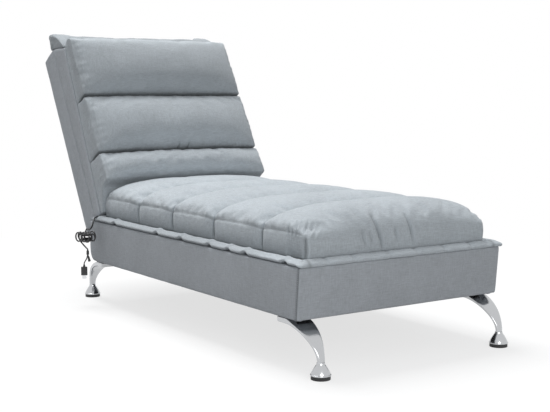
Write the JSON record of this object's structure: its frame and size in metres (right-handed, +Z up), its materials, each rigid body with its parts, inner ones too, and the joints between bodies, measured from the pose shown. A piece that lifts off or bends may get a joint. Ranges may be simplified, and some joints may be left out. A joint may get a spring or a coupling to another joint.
{
  "type": "massage lounge chair",
  "caption": "Upholstered massage lounge chair: long padded base on curved chrome legs, channelled seat topper, reclining pillow back and a lead with its spare length in a hank.",
  "frame": {"origin": "on the floor, in the middle of the chair's width and of its whole length", "axes": "+X across the chair, to the right when it is seen from the foot end with the back behind; +Y from the foot end to the back; +Z up"},
  "size_m": [0.665, 1.4682, 0.7874],
  "materials": {
    "side_fabric": "matte woven",
    "seat_fabric": "matte woven",
    "back_fabric": "matte woven",
    "wood": "raw plywood",
    "foam": "open foam",
    "under_cloth": "non-woven cloth",
    "chrome": "polished",
    "rubber": "matte",
    "steel": "zinc plated",
    "black_plastic": "fine grain",
    "cord_sheath": "semi-matte",
    "plug_metal": "bright nickel"
  },
  "bodies": {
    "base": {"base_side_left": "wood", "base_side_right": "wood", "base_front_rail": "wood", "base_rear_rail": "wood", "base_cross_rails": "wood", "seat_deck": "wood", "base_cover": "side_fabric", "dust_cover": "under_cloth", "leg_blocks": "wood", "leg_front_left": "chrome", "leg_front_right": "chrome", "leg_rear_left": "chrome", "leg_rear_right": "chrome", "foot_front_left": "chrome", "foot_front_right": "chrome", "foot_rear_left": "chrome", "foot_rear_right": "chrome", "foot_pads": "rubber", "leg_screws": "steel", "base_foam": "foam", "seat_flange": "seat_fabric", "seat_cushion": "seat_fabric", "hinge_plate_left": "steel", "hinge_plate_right": "steel", "hinge_pins": "steel", "plate_screws": "steel", "seat_motor_cases": "black_plastic", "seat_motors": "steel", "control_box": "black_plastic", "seat_wiring": "cord_sheath", "cord_gland": "black_plastic", "cord_lead": "cord_sheath", "cord_hank": "cord_sheath", "hank_tie": "black_plastic", "cord_splitter": "black_plastic", "cord_branches": "cord_sheath", "usb_plug": "black_plastic", "usb_shell": "plug_metal", "round_socket": "black_plastic"},
    "back": {"back_stile_left": "wood", "back_stile_right": "wood", "back_rails": "wood", "back_panel": "wood", "back_cover": "side_fabric", "back_foam": "foam", "back_border": "side_fabric", "back_top_flap": "back_fabric", "back_pillow_top": "back_fabric", "back_pillow_middle": "back_fabric", "back_pillow_lower": "back_fabric", "back_motor_cases": "black_plastic", "back_motors": "steel", "back_wiring": "cord_sheath", "hinge_arm_left": "steel", "hinge_arm_right": "steel", "arm_screws": "steel"},
    "seat_weight_left": {"seat_weight_left": "steel"},
    "seat_weight_right": {"seat_weight_right": "steel"},
    "back_weight_left": {"back_weight_left": "steel"},
    "back_weight_right": {"back_weight_right": "steel"}
  },
  "joints": [
    {"name": "back_recline", "type": "hinge", "parent": "base", "child": "back", "pos_m": [0, 0.3585, 0.213], "axis": [-1, 0, 0], "range_deg": [0, 55]},
    {"name": "seat_weight_left_spin", "type": "hinge", "parent": "base", "child": "seat_weight_left", "pos_m": [-0.12, -0.2545, 0.195], "axis": [0, 0, 1], "continuous": true},
    {"name": "back_weight_left_spin", "type": "hinge", "parent": "back", "child": "back_weight_left", "pos_m": [-0.12, 0.47399, 0.37964], "axis": [0, -0.8678, 0.497], "continuous": true},
    {"name": "seat_weight_right_spin", "type": "hinge", "parent": "base", "child": "seat_weight_right", "pos_m": [0.12, -0.2545, 0.195], "axis": [0, 0, 1], "continuous": true},
    {"name": "back_weight_right_spin", "type": "hinge", "parent": "back", "child": "back_weight_right", "pos_m": [0.12, 0.47399, 0.37964], "axis": [0, -0.8678, 0.497], "continuous": true}
  ]
}
